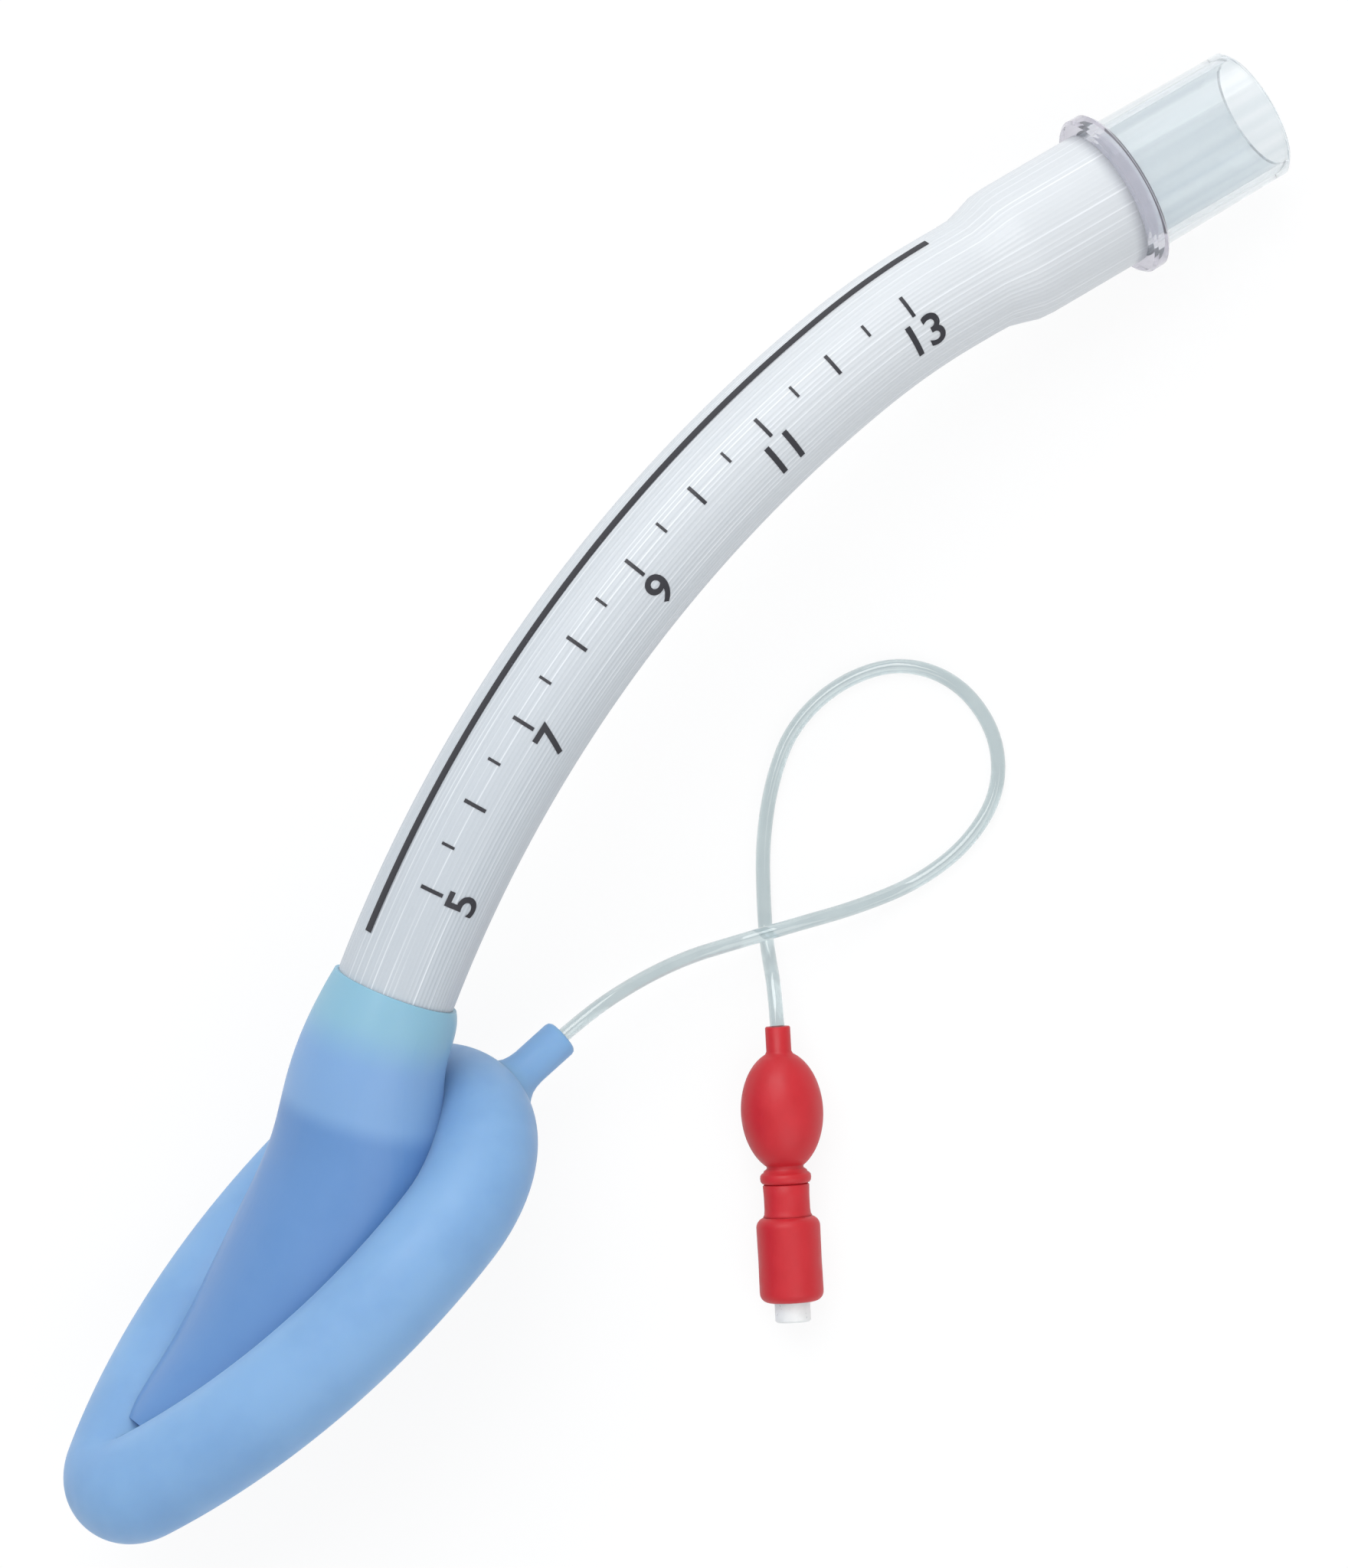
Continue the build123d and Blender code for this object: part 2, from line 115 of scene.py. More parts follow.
# Inflation line and pilot balloon
LINE_R = 0.8
PILOT_START = (-14.7, -25.7, 4.97668)
PILOT_YAW = 216.1
PILOT_DROP = 2.895
PILOT_COLUMNS = 112
LINE_ROUTE = [
    (-30.59, -5.93, 13.03),
    (-24.87, -7.46, 12.03),
    (-18.9, -10.1, 10.2),
    (-13.8, -13.2, 7.9),
    (-9.9, -16.5, 6.3),
    (-4.3, -21.3, 5.6),
    (0.9, -25.9, 2.9),
    (6.9, -30.1, 0.8),
    (13.5, -32.4, 0.8),
    (20.2, -32.1, 0.8),
    (25.4, -28.2, 0.8),
    (27.8, -21.6, 0.8),
    (26.0, -15.1, 0.8),
    (20.5, -10.8, 0.8),
    (13.7, -9.2, 0.8),
    (7.4, -10.6, 0.8),
    (1.3, -13.4, 0.8),
    (-3.9, -16.9, 0.8),
    (-7.9, -19.9, 0.9),
    (-11.88, -23.64, 5.15),
    (-16.8, -27.23, 4.85),
]

# Pilot balloon, as distances along its axis and radii
NECK_R = 1.375
NECK_OUTLINE = [(0, 0.82), (0, 1.28), (0.12, NECK_R), (2.7, NECK_R)]
BULB_MIDDLE = 9.3
BULB_HALF = 6.7
BULB_R = 4.5
BULB_SPAN = (3.0, 15.4)
BULB_STEPS = 40
HOLLOW_HALF = 6.0
HOLLOW_R = 3.8
HOLLOW_SPAN = (4.0, 14.4)
HOLLOW_STEPS = 20
LIP_OUTLINE = [
    (15.75, 2.35),
    (15.95, 2.42),
    (16.05, 2.6),
    (16.25, 2.76),
    (16.55, 2.8),
    (16.9, 2.76),
    (17.12, 2.6),
    (17.2, 2.4),
    (17.2, 2.02),
    (15.3, 2.02),
]
HOLLOW_MOUTH = (3.4, 0.82)

# Valve pocket, from its sleeve in the balloon's tail to its open end and back inside. Its shoulder
# and rim are rounds, each by its centre's distance and radius and its own radius.
SLEEVE_OUTLINE = [
    (15.35, 1.0),
    (15.35, 1.97),
    (17.23, 1.97),
    (17.23, 2.4),
    (17.4, 2.55),
    (18.6, 2.5),
    (20.0, 2.5),
    (20.55, 2.56),
    (20.8, 2.7),
]
SHOULDER = (21.95, 2.35, 1.15)
CUP_SIDE = [(25.5, 3.47), (29.0, 3.5)]
RIM = (29.1, 2.4, 1.1)
ROUND_STEPS = 8
CUP_INSIDE = [
    (30.2, 2.2),
    (30.16, 2.17),
    (29.42, 2.17),
    (29.42, 2.72),
    (21.98, 2.72),
    (21.98, 1.0),
]

# Camera: straight down from far off, rolled as the photograph is. How far it is, and the level
# that its view's height is measured at, are metres.
VIEW_AT = (1.35, -1.81)
VIEW_ROLL = -57.0
VIEW_HIGH = 170.67
VIEW_FAR = 1.6
VIEW_LEVEL = 0.010
SENSOR = 36

# Floor: half its side and its drop in metres, and how much of it is plain white light
FLOOR_HALF = 3.0
FLOOR_DROP = 0.0001
FLOOR_GLOW = 0.88

# Lamps, with place and size in metres and watts, and the world's share of white light
LAMPS = [
    ("key_lamp", (0.32, 0.5, 0.88), 7.0, 0.8),
    ("fill_lamp", (-0.3, -0.55, 0.85), 3.8, 1.0),
    ("edge_lamp", (0.8, 0.55, 0.3), 1.5, 0.6),
]
LAMP_AIM = (0, 0, 0.01)
WORLD_LIGHT = 0.62

# Fine grain of the plain parts: waves a metre, its shade of the colour, and what it adds to the
# roughness
GRAIN_SCALE = 2000
GRAIN_SHADE = 0.86
GRAIN_ROUGH = 0.15


def along(point, angle, distance):
    """Step from a point of the middle plane in the direction of an angle."""
    a = radians(angle)
    return (point[0] + distance * cos(a), point[1] + distance * sin(a))


def turned(x, y, angle):
    """Turn a point of the middle plane about its origin."""
    a = radians(angle)
    return (x * cos(a) - y * sin(a), x * sin(a) + y * cos(a))


def lie_place():
    """From the middle plane, in millimetres, to the lying object, in metres."""
    move = Matrix.Translation(Vector(LIE_AT) * MM)
    pitch = Matrix.Rotation(radians(LIE_PITCH), 4, "Y")
    roll = Matrix.Rotation(radians(LIE_ROLL), 4, "X")
    return move @ pitch @ roll @ Matrix.Scale(MM, 4)


def pilot_place():
    """From the pilot's own axis, in millimetres, to where it lies, in metres."""
    move = Matrix.Translation(Vector(PILOT_START) * MM)
    yaw = Matrix.Rotation(radians(PILOT_YAW), 4, "Z")
    drop = Matrix.Rotation(radians(PILOT_DROP), 4, "Y")
    return move @ yaw @ drop @ Matrix.Scale(MM, 4)


LIE = lie_place()
PILOT = pilot_place()


def tube_axis(s):
    """Point and angle of the tube's axis, a distance from the mouth."""
    point = turned(*MOUTH, MASK_ANGLE)
    angle = MASK_ANGLE + MOUTH_ANGLE
    for radius, sweep in BENDS:
        part = min(s, radius * radians(sweep))
        centre = along(point, angle - 90, radius)
        angle -= degrees(part / radius)
        point = along(centre, angle + 90, radius)
        s -= part
        if s <= 0:
            return point, angle
    return along(point, angle, s), angle


def tube_point(s, around, radius):
    """A point round the tube: around is degrees from its back towards the upper side."""
    point, angle = tube_axis(s)
    out = radius * cos(radians(around))
    x, y = along(point, angle + 90, out)
    return LIE @ Vector((x, y, radius * sin(radians(around))))


def smooth_step(x):
    """An even S curve from 0 to 1."""
    x = min(max(x, 0.0), 1.0)
    return x * x * (3 - 2 * x)


def skin_radius(s):
    """Outer radius of the tube, with its flare over the barb."""
    start = BEND_LENGTH + STRAIGHT - BARB_LENGTH - FLARE_RAMP / 2
    flare = (BARB_R + FLARE_WALL - TUBE_R) * smooth_step((s - start) / FLARE_RAMP)
    return TUBE_R - TUCK * (1 - smooth_step(s - COLLAR_LENGTH + 1)) + flare


def lumen_radius(s):
    """Inner radius of the tube, opened by the barb."""
    start = BEND_LENGTH + STRAIGHT - BARB_LENGTH - BARB_LEAD
    wide = BARB_R + LUMEN_SLACK
    return LUMEN_R + (wide - LUMEN_R) * smooth_step((s - start) / (2 * BARB_LEAD))


# Mesh makers

def add_object(name, verts, faces, smooth=True):
    """A mesh object whose place is in its mesh."""
    mesh = bpy.data.meshes.new(name)
    mesh.from_pydata(verts, [], faces)
    mesh.polygons.foreach_set("use_smooth", [smooth] * len(faces))
    mesh.update()
    obj = bpy.data.objects.new(name, mesh)
    bpy.context.collection.objects.link(obj)
    return obj


def ring_faces(rows, columns):
    """Quads between rings of points; the last ring meets the first."""
    faces = []
    for i in range(rows):
        k = (i + 1) % rows
        for j in range(columns):
            m = (j + 1) % columns
            faces.append((i * columns + j, i * columns + m, k * columns + m, k * columns + j))
    return faces


def rings_object(name, rings):
    """A closed skin over rings of points of one count each."""
    verts = [point for ring in rings for point in ring]
    return add_object(name, verts, ring_faces(len(rings), len(rings[0])))


def turned_object(name, outline, place, columns):
    """A closed outline of (distance, radius) pairs turned about x and placed."""
    rings = []
    for x, r in outline:
        ring = []
        for j in range(columns):
            a = 2 * pi * j / columns
            ring.append(place @ Vector((x, r * cos(a), r * sin(a))))
        rings.append(ring)
    return rings_object(name, rings)


def face_out(obj):
    """Turn a closed mesh's faces outwards."""
    bm = bmesh.new()
    bm.from_mesh(obj.data)
    bmesh.ops.recalc_face_normals(bm, faces=bm.faces)
    bm.to_mesh(obj.data)
    bm.free()
    return obj


def joined(name, objects):
    """One mesh object out of several."""
    verts, faces = [], []
    for obj in objects:
        start = len(verts)
        verts += [v.co.copy() for v in obj.data.vertices]
        faces += [tuple(start + i for i in p.vertices) for p in obj.data.polygons]
        bpy.data.objects.remove(obj)
    return add_object(name, verts, faces)


# Materials

def srgb(red, green, blue):
    """A colour as seen, 0 to 255, as the shader's own numbers."""
    out = []
    for value in (red, green, blue):
        c = value / 255
        out.append(c / 12.92 if c <= 0.04045 else ((c + 0.055) / 1.055) ** 2.4)
    return (*out, 1.0)


def shader_node(tree, kind, settings=None, **inputs):
    """A node with its settings and inputs, by name or as i and a number; outputs are linked."""
    node = tree.nodes.new(kind)
    for key, value in (settings or {}).items():
        setattr(node, key, value)
    for key, value in inputs.items():
        by_number = key[0] == "i" and key[1:].isdigit()
        socket = node.inputs[int(key[1:]) if by_number else key]
        if isinstance(value, bpy.types.NodeSocket):
            tree.links.new(value, socket)
        else:
            socket.default_value = value
    return node


def plain_material(name, **sockets):
    """A material of one Principled shader with its own values."""
    material = bpy.data.materials.new(name)
    material.use_nodes = True
    shader = material.node_tree.nodes["Principled BSDF"]
    for key, value in sockets.items():
        shader.inputs[key.replace("_", " ")].default_value = value
    return material, material.node_tree, shader


def object_place(tree):
    """Object coordinates, in metres, which are the frame's own."""
    return shader_node(tree, "ShaderNodeTexCoord").outputs["Object"]


def noise(tree, scale, detail=3.0, rough=0.55):
    """A noise value over the object's own place; scale is waves a metre."""
    node = shader_node(tree, "ShaderNodeTexNoise", Vector=object_place(tree), Scale=scale,
                       Detail=detail, Roughness=rough)
    return node.outputs["Fac"]


def spread(tree, value, low, high, start=0.0, end=1.0):
    """Map a value's range from start..end to low..high."""
    node = shader_node(tree, "ShaderNodeMapRange", {"interpolation_type": "SMOOTHSTEP"},
                       i0=value, i1=start, i2=end, i3=low, i4=high)
    return node.outputs[0]


def two_colours(tree, factor, first, second):
    """Mix two colours, or colour outputs, by a factor."""
    node = shader_node(tree, "ShaderNodeMix", {"data_type": "RGBA"}, i0=factor, i6=first, i7=second)
    return node.outputs[2]


def bump(tree, shader, height, distance, strength):
    """Lift the shader's normal by a height value; distance is in millimetres."""
    node = shader_node(tree, "ShaderNodeBump", Strength=strength, Distance=distance * MM,
                       Height=height)
    tree.links.new(node.outputs["Normal"], shader.inputs["Normal"])


def distance_along(tree, point, direction):
    """Metres from a point of the object along a direction."""
    moved = shader_node(tree, "ShaderNodeVectorMath", {"operation": "SUBTRACT"},
                        i0=object_place(tree), i1=tuple(point))
    dot = shader_node(tree, "ShaderNodeVectorMath", {"operation": "DOT_PRODUCT"},
                      i0=moved.outputs[0], i1=tuple(direction))
    return dot.outputs["Value"]


def place_along(tree, axis, grain):
    """Object place with x along an axis, scaled by waves a metre along and across it."""
    across = Vector((0, 0, 1)).cross(axis).normalized()
    parts = [distance_along(tree, (0, 0, 0), way) for way in (axis, across, across.cross(axis))]
    place = shader_node(tree, "ShaderNodeCombineXYZ", i0=parts[0], i1=parts[1], i2=parts[2])
    return shader_node(tree, "ShaderNodeMapping", i0=place.outputs[0], i3=grain).outputs[0]


def lying_direction(angle):
    """A direction of the middle plane, by its angle, on the lying object."""
    x, y = along((0, 0), angle, 1)
    return (LIE.to_3x3() @ Vector((x, y, 0))).normalized()


def tube_material():
    """Milky silicone, greyer towards the mask, with fine lengthwise ribs whose crests carry a
    painted highlight.
    """
    material, tree, shader = plain_material(
        "milky_silicone", Roughness=0.3, IOR=1.41, Subsurface_Weight=0.1,
        Subsurface_Scale=0.002, Coat_Weight=0.08, Coat_Roughness=0.25,
    )
    shader.inputs["Subsurface Radius"].default_value = (0.8, 0.9, 1.0)
    near, far = tube_point(10, 0, 0), tube_point(125, 0, 0)
    way = distance_along(tree, near, (far - near).normalized())
    tint = two_colours(tree, spread(tree, way, 0, 1, 0.0, 0.115),
                       srgb(180, 187, 194), srgb(200, 204, 208))
    skin = shader_node(tree, "ShaderNodeUVMap", {"uv_map": "skin"})
    stretched = shader_node(tree, "ShaderNodeMapping", i0=skin.outputs[0], i3=(RIBS, 5, 1))
    streaks = shader_node(tree, "ShaderNodeTexNoise", Vector=stretched.outputs[0],
                          Scale=1.0, Detail=3.0)
    one_band = pi / 10
    wave = shader_node(tree, "ShaderNodeTexWave", {"wave_type": "BANDS", "bands_direction": "X"},
                       Vector=skin.outputs[0], Scale=RIBS * one_band, Distortion=0.0)
    # Rib crests broken up by streaky noise: they set where a painted highlight lightens the colour,
    # and they also lift the bump.
    rib_crests_and_highlight = shader_node(tree, "ShaderNodeMath", {"operation": "MULTIPLY"},
                         i0=spread(tree, wave.outputs["Fac"], 0, 1, 0.55, 1.0),
                         i1=spread(tree, streaks.outputs["Fac"], 0.02, 0.5, 0.45, 0.68))
    # Painted highlight: the colour is mixed towards near white on the crests.
    ribbed = two_colours(tree, rib_crests_and_highlight.outputs[0], tint, srgb(240, 243, 247))
    tree.links.new(ribbed, shader.inputs["Base Color"])
    mist = noise(tree, 90, 4)
    tree.links.new(spread(tree, mist, 0.34, 0.46, 0.3, 0.7), shader.inputs["Roughness"])
    bump(tree, shader, rib_crests_and_highlight.outputs[0], 0.02, 0.5)
    return material


def ink_material():
    """Black printing, thin in places."""
    material, tree, shader = plain_material("printing_ink", Roughness=0.45)
    worn = noise(tree, 2600, 5, 0.7)
    ink = two_colours(tree, spread(tree, worn, 0, 1, 0.62, 0.78),
                      srgb(34, 34, 42), srgb(96, 98, 108))
    tree.links.new(ink, shader.inputs["Base Color"])
    tree.links.new(spread(tree, worn, 0.35, 0.6), shader.inputs["Roughness"])
    return material


def back_material():
    """Blue silicone, teal where it is thin over the tube and deeper over the bowl."""
    material, tree, shader = plain_material(
        "blue_silicone", Roughness=0.44, IOR=1.41, Subsurface_Weight=0.2,
        Subsurface_Scale=0.002, Coat_Weight=0.12, Coat_Roughness=0.12,
    )
    shader.inputs["Subsurface Radius"].default_value = (0.35, 0.6, 1.0)
    _, angle = tube_axis(6)
    axis = lying_direction(angle - 1)
    s = distance_along(tree, tube_point(0, 0, 0), axis)
    cloudy = noise(tree, 160, 4)
    deep = two_colours(tree, cloudy, srgb(88, 130, 182), srgb(98, 139, 190))
    middle = srgb(118, 156, 200)
    teal = srgb(128, 172, 194)
    lower = two_colours(tree, spread(tree, s, 0, 1, 0.0022, 0.0050), deep, middle)
    full = two_colours(tree, spread(tree, s, 0, 1, 0.0098, 0.0155), lower, teal)
    tree.links.new(full, shader.inputs["Base Color"])
    tree.links.new(spread(tree, cloudy, 0.4, 0.52, 0.3, 0.7), shader.inputs["Roughness"])
    fine = place_along(tree, axis, (140, 1500, 1500))
    ribs = shader_node(tree, "ShaderNodeTexNoise", Vector=fine, Scale=1.0, Detail=2.0)
    bump(tree, shader, ribs.outputs["Fac"], 0.03, 0.5)
    return material


def cuff_material():
    """Pale blue soft silicone skin, matte and slightly mottled."""
    material, tree, shader = plain_material(
        "light_blue_silicone", Roughness=0.5, IOR=1.41, Subsurface_Weight=0.3,
        Subsurface_Scale=0.004, Sheen_Weight=0.08, Sheen_Roughness=0.5,
    )
    shader.inputs["Subsurface Radius"].default_value = (0.35, 0.6, 1.0)
    cloudy = noise(tree, 70, 4)
    skin = two_colours(tree, spread(tree, cloudy, 0, 1, 0.35, 0.65),
                       srgb(114, 154, 197), srgb(122, 162, 203))
    tree.links.new(skin, shader.inputs["Base Color"])
    grain = noise(tree, 3200, 2)
    gloss = spread(tree, noise(tree, 240, 3), 0.44, 0.58, 0.3, 0.7)
    tree.links.new(gloss, shader.inputs["Roughness"])
    bump(tree, shader, grain, 0.012, 0.35)
    return material


def connector_material():
    """Thin clear hard plastic, smoky in its thick flange, with faint streaks along it."""
    material, tree, shader = plain_material(
        "clear_hard_plastic", IOR=1.1, Transmission_Weight=0.86, Coat_Weight=0.6,
        Coat_Roughness=0.04, Coat_IOR=1.58,
    )
    flange = BEND_LENGTH + STRAIGHT
    axis = lying_direction(tube_axis(flange)[1])
    along_it = distance_along(tree, tube_point(flange, 0, 0), axis)
    fine = place_along(tree, axis, (12, 420, 420))
    streaks = shader_node(tree, "ShaderNodeTexNoise", Vector=fine, Scale=1.0, Detail=2.0)
    clear = two_colours(tree, spread(tree, streaks.outputs["Fac"], 0, 1, 0.35, 0.65),
                        srgb(222, 229, 233), srgb(238, 242, 244))
    smoky = two_colours(tree, spread(tree, along_it, 0, 1, 0.0019, 0.0023),
                        srgb(208, 206, 216), clear)
    tree.links.new(smoky, shader.inputs["Base Color"])
    gloss = spread(tree, streaks.outputs["Fac"], 0.02, 0.1, 0.5, 0.8)
    tree.links.new(gloss, shader.inputs["Roughness"])
    return material


def red_material():
    """Red silicone with a soft gloss and faint moulding grain."""
    material, tree, shader = plain_material(
        "red_silicone", Roughness=0.38, IOR=1.41, Subsurface_Weight=0.15,
        Subsurface_Scale=0.0012, Coat_Weight=0.06, Coat_Roughness=0.25,
    )
    shader.inputs["Subsurface Radius"].default_value = (1.0, 0.25, 0.2)
    cloudy = noise(tree, 420, 4)
    red = two_colours(tree, cloudy, srgb(180, 28, 37), srgb(195, 36, 46))
    tree.links.new(red, shader.inputs["Base Color"])
    tree.links.new(spread(tree, cloudy, 0.42, 0.54, 0.3, 0.7), shader.inputs["Roughness"])
    bump(tree, shader, noise(tree, 4200, 2), 0.01, 0.4)
    return material


def line_material():
    """Clear soft tubing, slightly grey, with a bright skin."""
    material, tree, shader = plain_material(
        "clear_soft_plastic", IOR=1.45, Transmission_Weight=0.85, Coat_Weight=0.8,
        Coat_Roughness=0.04,
    )
    cloudy = noise(tree, 300, 3)
    tint = two_colours(tree, cloudy, srgb(186, 199, 202), srgb(206, 217, 219))
    tree.links.new(tint, shader.inputs["Base Color"])
    tree.links.new(spread(tree, cloudy, 0.03, 0.1), shader.inputs["Roughness"])
    return material


def grained_material(name, base, roughness, metallic=0.0, transmission=0.0):
    """A plain part's material with fine grain in its colour, gloss and surface."""
    material, tree, shader = plain_material(
        name, Metallic=metallic, IOR=1.49, Transmission_Weight=transmission,
    )
    grain = noise(tree, GRAIN_SCALE, 3)
    darker = tuple(GRAIN_SHADE * c for c in base[:3]) + (1.0,)
    tree.links.new(two_colours(tree, grain, darker, base), shader.inputs["Base Color"])
    rough = spread(tree, grain, roughness, roughness + GRAIN_ROUGH)
    tree.links.new(rough, shader.inputs["Roughness"])
    bump(tree, shader, grain, 0.005, 0.3)
    return material


# Pieces

def ribbed_ring(s, columns, radius, depth):
    """One ring of the tube's skin, its radius changed by up to a depth at each rib."""
    ring = []
    for j in range(columns):
        rib = (1 + cos(2 * pi * j / RIB_COLUMNS)) / 2
        ring.append(tube_point(s, 360 * j / columns, radius + depth * rib))
    return ring


def lay_out_skin(tube, rows, columns):
    """Map the tube's faces evenly: u goes once round the tube, v follows its rings."""
    corners = ((0, 0), (0, 1), (1, 1), (1, 0))
    layer = tube.data.uv_layers.new(name="skin")
    for face in tube.data.polygons:
        i, j = divmod(face.vertices[0], columns)
        for loop_index, (di, dj) in zip(face.loop_indices, corners):
            layer.data[loop_index].uv = ((j + dj) / columns, (i + di) / rows)


def make_tube():
    """The ribbed breathing tube with its lumen and its flare over the barb."""
    columns = RIB_COLUMNS * RIBS
    total = BEND_LENGTH + STRAIGHT
    stations = [min(i * TUBE_STEP, total) for i in range(int(total / TUBE_STEP) + 2)]
    rings = []
    for s in stations:
        fade = 1 - RIB_FADE * smooth_step((s - BEND_LENGTH) / STRAIGHT)
        rings.append(ribbed_ring(s, columns, skin_radius(s), -RIB_DEPTH * fade))
    for s in reversed(stations):
        open_r = lumen_radius(s)
        fade = 1 - smooth_step((open_r - LUMEN_R) / INNER_RIB_FADE)
        rings.append(ribbed_ring(s, columns, open_r, INNER_RIB_DEPTH * fade))
    tube = rings_object("breathing_tube", rings)
    lay_out_skin(tube, len(rings), columns)
    return face_out(tube)


def printed(name, outlines):
    """Flat strips of printing wrapped on the tube: distances, start angle, end angle, width."""
    verts, faces = [], []
    for (s0, s1), first, last, width in outlines:
        rows = max(2, int(abs(s1 - s0) / PRINT_STEP) + 1)
        columns = max(2, int(width / PRINT_COLUMN) + 1)
        half = degrees(width / 2 / TUBE_R)
        start = len(verts)
        for i in range(rows):
            s = s0 + (s1 - s0) * i / (rows - 1)
            middle = first + (last - first) * i / (rows - 1)
            for j in range(columns):
                around = middle - half + 2 * half * j / (columns - 1)
                verts.append(tube_point(s, around, skin_radius(s) + INK_PROUD))
        for i in range(rows - 1):
            for j in range(columns - 1):
                a = start + i * columns + j
                faces.append((a, a + 1, a + columns + 1, a + columns))
    return add_object(name, verts, faces)


def make_line_print():
    """The black line near the tube's back."""
    return printed("printed_line", [(LINE_SPAN, *LINE_ANGLES, LINE_WIDTH)])


def make_marks():
    """Short and long ticks of a plain graduation on the tube's side."""
    outlines = []
    for s in range(MARK_SPAN[0], MARK_SPAN[1] + 1, MARK_STEP):
        reach, width = LONG_MARK if s % 10 == 0 else SHORT_MARK
        middle = MARK_ANGLE + degrees(reach / 2 / TUBE_R)
        outlines.append(((s - width / 2, s + width / 2), middle, middle, reach))
    return printed("printed_ticks", outlines)


def number_mesh(name, words):
    """A flat mesh of a number, centred on its origin, in millimetres."""
    curve = bpy.data.curves.new(name, "FONT")
    curve.body = words
    curve.size = NUMBER_SIZE
    curve.offset = NUMBER_BOLD
    curve.align_x = "CENTER"
    curve.align_y = "CENTER"
    text = bpy.data.objects.new(name, curve)
    bpy.context.collection.objects.link(text)
    graph = bpy.context.evaluated_depsgraph_get()
    mesh = bpy.data.meshes.new_from_object(text.evaluated_get(graph))
    bpy.data.objects.remove(text)
    return mesh


def split_long_edges(bm):
    """Cut a flat mesh finely enough to wrap it on the tube."""
    bmesh.ops.triangulate(bm, faces=bm.faces)
    for _ in range(NUMBER_CUTS):
        edges = [e for e in bm.edges if e.calc_length() > NUMBER_EDGE]
        if not edges:
            break
        bmesh.ops.subdivide_edges(bm, edges=edges, cuts=1)
        bmesh.ops.triangulate(bm, faces=bm.faces)


def make_numbers():
    """Plain distances in centimetres beside every second long tick."""
    parts = []
    for s in range(MARK_SPAN[0], MARK_SPAN[1] + 1, NUMBER_STEP):
        mesh = number_mesh(f"number_{s}", str(s // 10 + NUMBER_BASE))
        bm = bmesh.new()
        bm.from_mesh(mesh)
        split_long_edges(bm)
        for vert in bm.verts:
            x, y = vert.co.x, vert.co.y
            around = MARK_ANGLE + degrees((NUMBER_GAP - y) / TUBE_R)
            vert.co = tube_point(s + x, around, skin_radius(s + x) + INK_PROUD)
        bm.to_mesh(mesh)
        bm.free()
        number = bpy.data.objects.new(f"number_{s}", mesh)
        bpy.context.collection.objects.link(number)
        parts.append(number)
    return joined("printed_numbers", parts)


def ring_path():
    """Points of the cuff's centre line, in its own plane, with their outward angles."""
    heel_gap = RING_SIDE_R - RING_HEEL_R
    tip_gap = RING_SIDE_R - RING_TIP_R
    side_u = (tip_gap**2 - heel_gap**2 - RING_LENGTH**2) / (2 * RING_LENGTH)
    side_w = sqrt(heel_gap**2 - side_u**2)
    heel_turn = degrees(asin(side_w / heel_gap))
    tip_turn = 180 - degrees(asin(side_w / tip_gap))
    half = []
    arcs = [
        ((0, 0), RING_HEEL_R, 0, heel_turn),
        ((side_u, -side_w), RING_SIDE_R, heel_turn, tip_turn),
        ((-RING_LENGTH, 0), RING_TIP_R, tip_turn, 180),
    ]
    for (centre, radius, start, end), count in zip(arcs, RING_STEPS):
        for k in range(count):
            a = radians(start + (end - start) * k / count)
            half.append((centre[0] + radius * cos(a), centre[1] + radius * sin(a), a))
    tip = (-RING_LENGTH - RING_TIP_R, 0, pi)
    other = [(u, -w, -a) for u, w, a in reversed(half[1:])]
    return half + [tip] + other


def mask_to_lie(u, v, w):
    """A point of the mask's own frame on the lying object."""
    x, y = turned(u, v, MASK_ANGLE)
    return LIE @ Vector((x, y, w))


def make_cuff():
    """Inflated ring with its port, pressed flat where it bears on the floor."""
    rings = []
    for u, w, a in ring_path():
        ring = []
        for j in range(RING_COLUMNS):
            t = 2 * pi * j / RING_COLUMNS
            out = (RING_R + RING_PROUD) * cos(t)
            up = (RING_R + RING_PROUD) * sin(t)
            ring.append(mask_to_lie(u + out * cos(a), up, w + out * sin(a)))
        rings.append(ring)
    ring = face_out(rings_object("ring", rings))
    x, y = turned(*PORT_END, MASK_ANGLE)
    turn = Matrix.Rotation(radians(MASK_ANGLE + PORT_ANGLE), 4, "Z")
    place = LIE @ Matrix.Translation((x, y, 0)) @ turn
    port = face_out(turned_object("port", PORT_OUTLINE, place, PORT_COLUMNS))
    cuff = joined("cuff_skin", [ring, port])
    for vert in cuff.data.vertices:
        vert.co.z = max(vert.co.z, 0)
    return cuff


def bulb_outline(half_length, radius, span, count):
    """Outline points of an egg about the bulb's middle, between two distances."""
    start, end = span
    points = []
    for k in range(count + 1):
        x = start + (end - start) * k / count
        t = min(1.0, abs(x - BULB_MIDDLE) / half_length)
        points.append((x, radius * sqrt(max(0.0, 1 - t * t))))
    return points


def make_balloon():
    """Neck, egg-shaped bulb and rolled lip of the pilot balloon."""
    bulb = bulb_outline(BULB_HALF, BULB_R, BULB_SPAN, BULB_STEPS)
    hollow = bulb_outline(HOLLOW_HALF, HOLLOW_R, HOLLOW_SPAN, HOLLOW_STEPS)
    outline = NECK_OUTLINE + [(x, max(r, NECK_R)) for x, r in bulb]
    outline += LIP_OUTLINE + hollow[::-1] + [HOLLOW_MOUTH]
    return face_out(turned_object("red_balloon", outline, PILOT, PILOT_COLUMNS))


